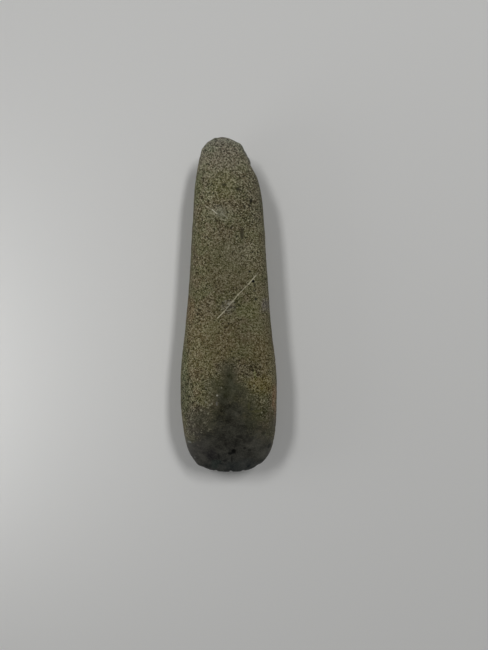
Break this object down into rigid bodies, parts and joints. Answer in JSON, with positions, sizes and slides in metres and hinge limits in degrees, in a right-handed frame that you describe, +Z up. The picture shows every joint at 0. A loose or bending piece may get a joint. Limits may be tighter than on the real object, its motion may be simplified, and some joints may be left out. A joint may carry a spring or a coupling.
{
  "type": "polished stone axe",
  "caption": "Oval ground-stone axe blade lying flat, tapering to a rounded butt, with a bit polished on both faces to a curved cutting edge.",
  "frame": {"origin": "middle of the stone's footprint, on the surface it lies on", "axes": "+Z up, +Y along the length towards the butt, -Y towards the cutting edge, +X to the right seen from above with the butt away"},
  "size_m": [0.046, 0.16, 0.031],
  "materials": {
    "stone": "granular olive-brown stone, half matt, dark and polished at the bit"
  },
  "bodies": {
    "root": {"stone_axe": "stone"}
  },
  "joints": []
}
